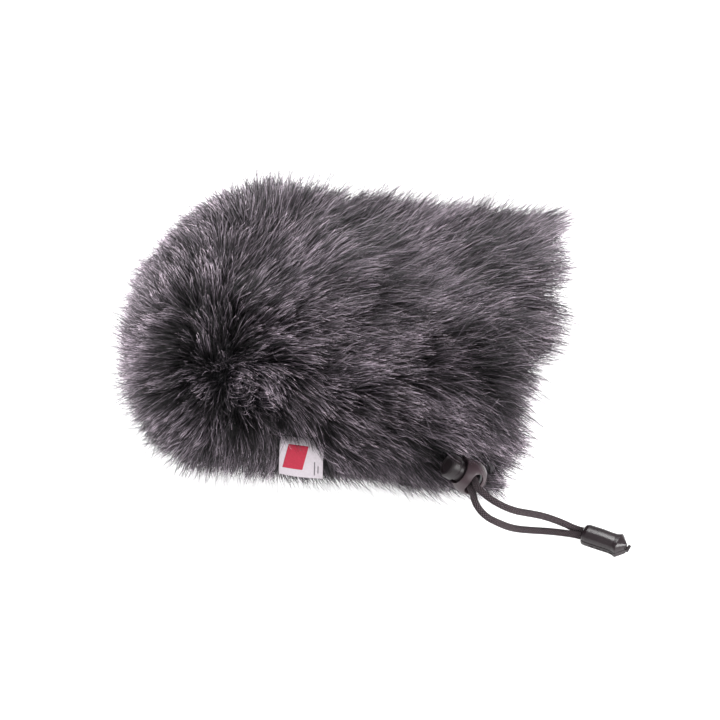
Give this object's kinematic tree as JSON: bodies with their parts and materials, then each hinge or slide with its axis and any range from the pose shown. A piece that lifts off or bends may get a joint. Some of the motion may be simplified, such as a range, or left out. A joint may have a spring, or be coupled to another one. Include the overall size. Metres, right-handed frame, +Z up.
{
  "type": "furry windscreen",
  "caption": "Long-pile faux-fur wind cover bag with a domed closed end, an open mouth drawn in by a cord, a sprung cord lock and a clip-shut cord end.",
  "frame": {"origin": "on the surface that the bag lies on, under the middle of the bag (the pile's box, without the cord tails, the lock and the cord end)", "axes": "+X along the bag from the dome to the open mouth, +Y from the seam that carries the label and the cord lock to the opposite seam, +Z up"},
  "size_m": [0.2329, 0.1583, 0.0901],
  "materials": {
    "fur": "long-pile acrylic fur in charcoal with paler mauve-grey tips, on a black knitted backing",
    "binding": "matte black woven binding and casing cloth",
    "thread": "black spun polyester thread",
    "label": "pale grey woven satin tag with a plain red block",
    "cord": "black round braided polyester cord",
    "lock_plastic": "fine-textured black-brown moulded plastic",
    "spring_wire": "bright spring wire",
    "cord_end_plastic": "semi-gloss black moulded plastic"
  },
  "bodies": {
    "root": {"fur_end_cap": "fur", "fur_panel_upper": "fur", "fur_panel_lower": "fur", "cap_seam_tape": "binding", "seam_tape_front": "binding", "seam_tape_back": "binding", "mouth_casing": "binding", "cap_seam_thread": "thread", "seam_thread_front": "thread", "seam_thread_back": "thread", "hem_thread": "thread", "bartack_upper": "thread", "bartack_lower": "thread", "label_thread": "thread", "woven_label": "label", "drawcord_in_casing": "cord", "drawcord_tail_upper": "cord", "drawcord_tail_lower": "cord", "drawcord_knot": "cord", "cord_end_base": "cord_end_plastic", "cord_end_hinge": "cord_end_plastic"},
    "cord_lock": {"cord_lock_barrel": "lock_plastic", "cord_lock_spring": "spring_wire"},
    "lock_plunger": {"cord_lock_plunger": "lock_plastic"},
    "end_lid": {"cord_end_lid": "cord_end_plastic"}
  },
  "joints": [
    {"name": "lock_slide", "type": "slide", "parent": "root", "child": "cord_lock", "axis": [0.384, -0.8789, 0.283], "range_m": [0, 0.004]},
    {"name": "lock_press", "type": "slide", "parent": "cord_lock", "child": "lock_plunger", "axis": [0.7626, 0.1291, -0.6338], "range_m": [0, 0.002], "stiffness_N_per_m": 400, "springref_m": -0.0025, "deforming": ["cord_lock_spring"]},
    {"name": "lid_hinge", "type": "hinge", "parent": "root", "child": "end_lid", "pos_m": [0.13778, -0.06166, 0.0031], "axis": [0.2419, 0.9703, 0], "range_deg": [0, 110]}
  ]
}
